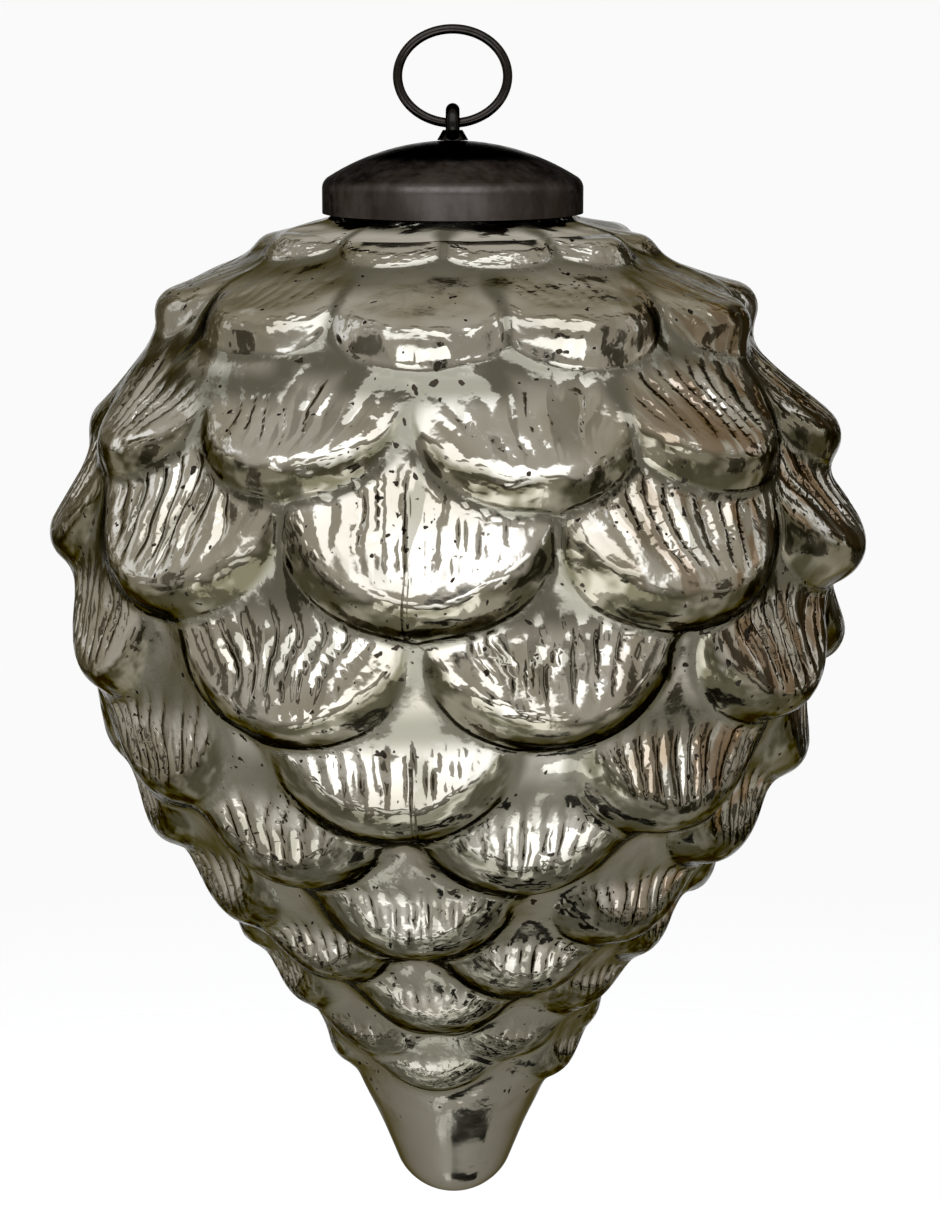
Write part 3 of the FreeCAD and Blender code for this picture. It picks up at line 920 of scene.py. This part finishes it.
def dark_metal(name, gloss, banded=False):
    """Near-black patinated metal, brown where it is rubbed. The cap has a duller band, painted
    paler brown as a painted reflection of the brighter room.
    """
    tree = Tree(bpy.data.materials.new(name))
    where = tree.place()
    streak = tree.ramp(tree.noise(where, 3.0, 4.0, 0.6), 0.45, 0.7)
    base = tree.blend(streak, gloss, RUBBED_BROWN)
    rough = tree.ramp(tree.noise(where, 1.2, 3.0), 0.3, 0.7, 0.12, 0.26)
    if banded:
        z = tree.node("ShaderNodeSeparateXYZ", Vector=where).outputs[2]
        low = tree.ramp(z, BAND_TOP + 0.5, BAND_TOP - 0.5)
        # Painted reflection: the cap's band is paler brown, for the brighter room it reflects; its
        # greater roughness is its own.
        band_reflection_streaks = tree.noise(tree.stretched(where, (1, 1, 0.5)), 5.0, 4.0, 0.6)
        band = tree.blend(tree.ramp(band_reflection_streaks, 0.35, 0.7), BAND_REFLECTION_BROWN, BAND_REFLECTION_PALE)
        base = tree.blend(low, base, band)
        rough = tree.add_product(low, 0.22, rough)
    tree.surface(base, rough, tree.noise(where, 0.8, 3.0), 0.02 * MM, 0.8)
    tree.shader.inputs["Metallic"].default_value = 1.0
    tree.shader.inputs["Specular Tint"].default_value = METAL_EDGE
    return tree.owner


def spring_steel():
    """Plain strip steel with fine rolling marks."""
    tree = Tree(bpy.data.materials.new("spring_steel"))
    lines = tree.noise(tree.stretched(tree.place(), (1, 0.1, 1)), 0.25, 3.0)
    base = tree.blend(lines, STEEL_GREY, STEEL_PALE)
    tree.surface(base, tree.ramp(lines, 0.2, 0.8, 0.25, 0.4))
    tree.shader.inputs["Metallic"].default_value = 1.0
    return tree.owner


def set_material(thing, material):
    """Give an object one material."""
    thing.data.materials.clear()
    thing.data.materials.append(material)


def seen_directly(tree):
    """1 for what the camera, a reflection or a clear surface shows, 0 for light on the rest."""
    paths = tree.node("ShaderNodeLightPath")
    seen = tree.math("MAXIMUM", paths.outputs["Is Camera Ray"], paths.outputs["Is Glossy Ray"])
    return tree.math("MAXIMUM", seen, paths.outputs["Is Transmission Ray"])


def add_panel(name, corners):
    """A flat, four-sided object."""
    mesh = bpy.data.meshes.new(name)
    mesh.from_pydata(corners, [], [(0, 1, 2, 3)])
    return add_object(name, mesh)


# The floor: half its side in metres and its drop below the tip in millimetres. It glows a
# little, so that it shows as white as the studio, and fades out between two distances, in
# millimetres.
FLOOR_HALF = 8.0
FLOOR_DROP = 320.0
FLOOR_GLOW = 0.40
FLOOR_FADE = (600.0, 1400.0)
FLOOR_WHITES = (colour(235, 235, 235), colour(238, 238, 238))


def make_floor():
    """A plain pale floor under the ornament that keeps its shadow."""
    level = (FOOT - BODY_LENGTH - FLOOR_DROP) * MM
    turns = ((-1, -1), (1, -1), (1, 1), (-1, 1))
    floor = add_panel("floor", [(x * FLOOR_HALF, y * FLOOR_HALF, level) for x, y in turns])
    tree = Tree(bpy.data.materials.new("floor"))
    where = tree.place()
    tree.surface(tree.blend(tree.noise(where, 40.0, 3.0), *FLOOR_WHITES), 0.9)
    tree.shader.inputs["Specular IOR Level"].default_value = 0.0
    tree.shader.inputs["Emission Color"].default_value = (1, 1, 1, 1)
    glow = tree.times(seen_directly(tree), FLOOR_GLOW)
    tree.feed(tree.shader.inputs["Emission Strength"], glow)
    away = tree.node("ShaderNodeVectorMath", {"operation": "LENGTH"})
    tree.feed(away.inputs[0], where)
    mixed = tree.node("ShaderNodeMixShader")
    tree.feed(mixed.inputs[0], tree.ramp(away.outputs["Value"], *FLOOR_FADE))
    tree.feed(mixed.inputs[1], tree.shader.outputs[0])
    tree.feed(mixed.inputs[2], tree.node("ShaderNodeBsdfTransparent").outputs[0])
    tree.feed(tree.nodes["Material Output"].inputs["Surface"], mixed.outputs[0])
    set_material(floor, tree.owner)


# The ornament's middle, in metres, which the studio's panels face.
MIDDLE = np.array([0, 0, -0.07])
COOL = (0.94, 1.0, 1.16)
DARK = (0.9, 0.85, 0.72)
# Each panel's name, azimuth from the camera's side and elevation in degrees, distance, width
# and height in metres, strength and tint. The weak ones are dark cards, which the silvering
# reflects between the lights.
PANELS = [
    ("front_light", -2, 47, 0.9, 1.36, 0.70, 4.0, COOL),
    ("low_front_light", -2, -24, 0.5, 0.52, 0.36, 4.8, COOL),
    ("left_light", -102, 22, 0.9, 0.26, 0.50, 2.2, COOL),
    ("right_light", 108, 18, 0.9, 0.20, 0.45, 1.9, COOL),
    ("camera_side", 6, 6, 0.5, 0.09, 0.14, 0.08, DARK),
    ("left_card", -72, -4, 0.9, 0.30, 0.7, 0.25, DARK),
    ("right_card", 76, -4, 0.9, 0.35, 0.8, 0.18, DARK),
    ("far_left_card", -134, 4, 0.9, 0.40, 0.9, 0.50, DARK),
    ("far_right_card", 134, 4, 0.9, 0.70, 0.9, 0.20, DARK),
    ("under_card", 30, -66, 0.25, 0.15, 0.055, 0.06, DARK),
    ("under_light", -19, -66, 0.25, 0.03, 0.055, 4.0, COOL),
]


def soft_box(name, azimuth, elevation, distance, width, height, strength, tint):
    """A glowing panel that faces the ornament's middle."""
    a, e = math.radians(azimuth), math.radians(elevation)
    out = np.array([math.sin(a) * math.cos(e), -math.cos(a) * math.cos(e), math.sin(e)])
    right = np.array([math.cos(a), math.sin(a), 0])
    up = np.cross(right, -out)
    centre = MIDDLE + out * distance
    corners = [
        tuple(centre + right * sx * width / 2 + up * sy * height / 2)
        for sx, sy in ((-1, -1), (1, -1), (1, 1), (-1, 1))
    ]
    panel = add_panel(name, corners)
    tree = Tree(bpy.data.materials.new(name))
    tree.nodes.clear()
    glow = tree.node("ShaderNodeEmission", Color=(*tint, 1), Strength=strength)
    tree.node("ShaderNodeOutputMaterial", Surface=glow.outputs[0])
    set_material(panel, tree.owner)
    panel.visible_camera = False
    panel.visible_shadow = False


# How strongly the white studio lights dull surfaces, and how white it shows.
STUDIO_LIGHT = 0.7
STUDIO_SHOWN = 0.955


def make_world():
    """A white studio all round; its light on dull surfaces is softer than what shows."""
    world = bpy.data.worlds.new("studio")
    bpy.context.scene.world = world
    tree = Tree(world)
    tree.nodes.clear()
    level = tree.ramp(seen_directly(tree), 0.0, 1.0, STUDIO_LIGHT, STUDIO_SHOWN)
    back = tree.node("ShaderNodeBackground", Color=(1, 1, 1, 1), Strength=level)
    tree.node("ShaderNodeOutputWorld", Surface=back.outputs[0])


# The camera, read from the photograph: its place in metres, how far it looks down in degrees,
# its sensor in millimetres, and its focal length and the picture's height in pixels.
CAMERA_PLACE = (0.0021, -0.368, 0.00175)
CAMERA_DOWN = 11.1
SENSOR = 36.0
FOCAL_PIXELS = 3000
PICTURE_HEIGHT = 1215


def make_camera():
    """The photograph's view: a long lens a little above the ornament."""
    data = bpy.data.cameras.new("camera")
    data.sensor_width = SENSOR
    data.lens = SENSOR * FOCAL_PIXELS / PICTURE_HEIGHT
    data.clip_start, data.clip_end = 0.01, 50
    camera = add_object("camera", data)
    camera.location = CAMERA_PLACE
    camera.rotation_euler = (math.radians(90 - CAMERA_DOWN), 0, 0)
    bpy.context.scene.camera = camera


bpy.context.scene.view_settings.view_transform = "Standard"
for thing in list(bpy.data.objects):
    if thing.type in ("LIGHT", "CAMERA") or thing.name == "Cube":
        bpy.data.objects.remove(thing)

make_camera()
make_world()
make_floor()
for panel in PANELS:
    soft_box(*panel)

glass_piece = make_glass_piece()
set_material(glass_piece, silvered_glass())
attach(glass_piece, "ornament")
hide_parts("glass_body")

nodes = frame["nodes"]
set_material(nodes["ring"], dark_metal("ring_metal", RING_BLACK))
set_material(nodes["hanger_eye"], dark_metal("eye_metal", EYE_BLACK))
set_material(nodes["cap"], dark_metal("cap_metal", DOME_BLACK, banded=True))
set_material(nodes["spring_clip"], spring_steel())
